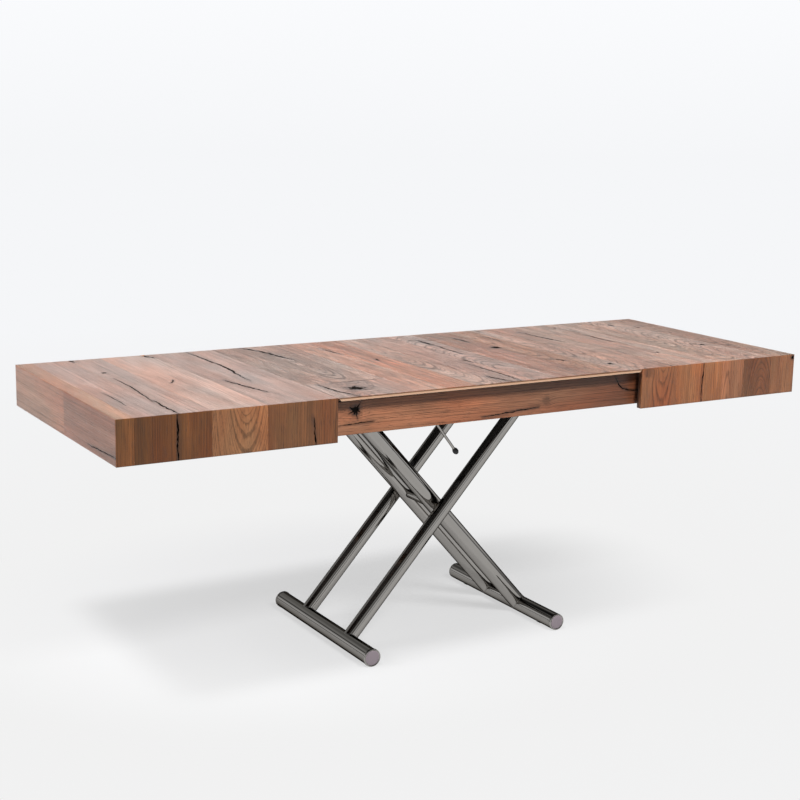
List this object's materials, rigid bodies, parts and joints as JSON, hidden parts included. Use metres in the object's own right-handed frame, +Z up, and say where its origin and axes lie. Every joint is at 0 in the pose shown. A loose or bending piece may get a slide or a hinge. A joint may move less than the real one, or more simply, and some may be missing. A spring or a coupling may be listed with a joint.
{
  "type": "convertible coffee dining table",
  "caption": "Extending oak table on crossed steel tube legs that fold down to coffee-table height, with end shells that slide out to make room for lift-in leaves.",
  "frame": {"origin": "on the floor, under the middle of the raised and extended top", "axes": "+X along the table's length, -Y towards the side with the lever, +Z up"},
  "size_m": [2.2, 0.81, 0.806],
  "materials": {
    "aged_oak": "oiled reclaimed oak, satin",
    "frame_oak": "oiled oak, satin",
    "pale_core": "raw, matt",
    "black_nickel": "dark mirror plating",
    "cap_grey": "satin",
    "bright_steel": "ground",
    "bearing_brass": "machined",
    "black_paint": "powder coat",
    "zinc_steel": "zinc plated",
    "black_nylon": "moulded"
  },
  "bodies": {
    "floor_feet": {"foot_caps": "cap_grey"},
    "outer_legs": {"outer_leg_front": "black_nickel", "outer_leg_back": "black_nickel", "floor_bar_left": "black_nickel", "outer_cross_tube": "black_nickel", "outer_pivot_pins": "bright_steel", "center_bushes": "bearing_brass", "lift_crank": "black_paint"},
    "inner_legs": {"inner_leg_front": "black_nickel", "inner_leg_back": "black_nickel", "floor_bar_right": "black_nickel", "bar_end_caps": "cap_grey", "center_cross_tube": "black_nickel", "center_pivot_pins": "bright_steel", "roller_axle": "bright_steel", "wheel_carriers": "black_nylon", "wheel_axles": "bright_steel"},
    "floor_wheel_front": {"floor_wheel_front": "black_nylon"},
    "floor_wheel_back": {"floor_wheel_back": "black_nylon"},
    "track_roller_front": {"track_roller_front": "black_nylon"},
    "track_roller_back": {"track_roller_back": "black_nylon"},
    "top_frame": {"apron_front": "frame_oak", "apron_back": "frame_oak", "frame_end_rails": "frame_oak", "cross_beam_left": "black_paint", "cross_beam_right": "black_paint", "subframe_rails": "black_paint", "roller_track_front": "black_paint", "roller_track_back": "black_paint", "pivot_brackets": "black_paint", "lever_bearings": "black_paint", "gas_spring_mount": "black_paint", "gas_spring_cylinder": "black_paint", "slide_outer_left": "zinc_steel", "slide_outer_right": "zinc_steel"},
    "gas_spring_rod": {"gas_spring_rod": "bright_steel"},
    "gas_spring_valve_pin": {"gas_spring_valve_pin": "bright_steel"},
    "release_lever": {"lever_shaft": "black_paint", "lever_rod": "black_nickel", "lever_knob": "black_nickel"},
    "left_shell": {"left_top_panel": "aged_oak", "left_front_skirt": "aged_oak", "left_back_skirt": "aged_oak", "left_end_skirt": "aged_oak", "left_runners": "frame_oak", "slide_inner_left": "zinc_steel"},
    "right_shell": {"right_top_panel": "aged_oak", "right_front_skirt": "aged_oak", "right_back_skirt": "aged_oak", "right_end_skirt": "aged_oak", "right_runners": "frame_oak", "slide_inner_right": "zinc_steel"},
    "left_slide_middle": {"slide_middle_left": "zinc_steel"},
    "right_slide_middle": {"slide_middle_right": "zinc_steel"},
    "left_leaf": {"left_leaf_core": "pale_core", "left_leaf_face": "aged_oak", "left_leaf_battens": "frame_oak"},
    "right_leaf": {"right_leaf_core": "pale_core", "right_leaf_face": "aged_oak", "right_leaf_battens": "frame_oak"}
  },
  "joints": [
    {"name": "height_fold", "type": "hinge", "parent": "floor_feet", "child": "outer_legs", "pos_m": [-0.318, 0, 0.026], "axis": [0, 1, 0], "range_deg": [0, 33]},
    {"name": "scissor_pivot", "type": "hinge", "parent": "outer_legs", "child": "inner_legs", "pos_m": [0, 0, 0.3816], "axis": [0, 1, 0], "range_deg": [-66, 0]},
    {"name": "top_pivot", "type": "hinge", "parent": "outer_legs", "child": "top_frame", "pos_m": [0.28, 0, 0.6947], "axis": [0, 1, 0], "range_deg": [-33, 0]},
    {"name": "floor_wheel_front_spin", "type": "hinge", "parent": "inner_legs", "child": "floor_wheel_front", "pos_m": [0.31488, -0.205, 0.01545], "axis": [0, 1, 0], "continuous": true},
    {"name": "floor_wheel_back_spin", "type": "hinge", "parent": "inner_legs", "child": "floor_wheel_back", "pos_m": [0.31488, 0.205, 0.01545], "axis": [0, 1, 0], "continuous": true},
    {"name": "track_roller_front_spin", "type": "hinge", "parent": "inner_legs", "child": "track_roller_front", "pos_m": [-0.28, -0.131, 0.6947], "axis": [0, 1, 0], "continuous": true},
    {"name": "track_roller_back_spin", "type": "hinge", "parent": "inner_legs", "child": "track_roller_back", "pos_m": [-0.28, 0.131, 0.6947], "axis": [0, 1, 0], "continuous": true},
    {"name": "gas_rod_slide", "type": "slide", "parent": "top_frame", "child": "gas_spring_rod", "axis": [1, 0, 0], "range_m": [0, 0.0285]},
    {"name": "lever_press", "type": "hinge", "parent": "top_frame", "child": "release_lever", "pos_m": [-0.135, 0, 0.727], "axis": [0, 1, 0], "range_deg": [0, 10], "stiffness_Nm_per_rad": 3, "springref_deg": -28.65},
    {"name": "valve_slide", "type": "slide", "parent": "top_frame", "child": "gas_spring_valve_pin", "axis": [1, 0, 0], "range_m": [0, 0.0034]},
    {"name": "extension_left", "type": "slide", "parent": "top_frame", "child": "left_shell", "axis": [1, 0, 0], "range_m": [0, 0.4995]},
    {"name": "slide_middle_left_run", "type": "slide", "parent": "top_frame", "child": "left_slide_middle", "axis": [1, 0, 0], "range_m": [0, 0.25]},
    {"name": "leaf_left_lift", "type": "slide", "parent": "top_frame", "child": "left_leaf", "axis": [0, 0, 1], "range_m": [0, 0.4995]},
    {"name": "extension_right", "type": "slide", "parent": "top_frame", "child": "right_shell", "axis": [-1, 0, 0], "range_m": [0, 0.4995]},
    {"name": "slide_middle_right_run", "type": "slide", "parent": "top_frame", "child": "right_slide_middle", "axis": [-1, 0, 0], "range_m": [0, 0.25]},
    {"name": "leaf_right_lift", "type": "slide", "parent": "top_frame", "child": "right_leaf", "axis": [0, 0, 1], "range_m": [0, 0.4995]}
  ],
  "couplings": [
    {"joint": "scissor_pivot", "follows": "height_fold", "ratio": -2},
    {"joint": "top_pivot", "follows": "height_fold", "ratio": -1},
    {"joint": "gas_rod_slide", "follows": "height_fold", "m_per_rad": 0.049312},
    {"joint": "valve_slide", "follows": "lever_press", "m_per_rad": 0.0185},
    {"joint": "slide_middle_left_run", "follows": "extension_left", "ratio": 0.5},
    {"joint": "leaf_left_lift", "follows": "extension_left", "ratio": 1},
    {"joint": "slide_middle_right_run", "follows": "extension_right", "ratio": 0.5},
    {"joint": "leaf_right_lift", "follows": "extension_right", "ratio": 1}
  ]
}
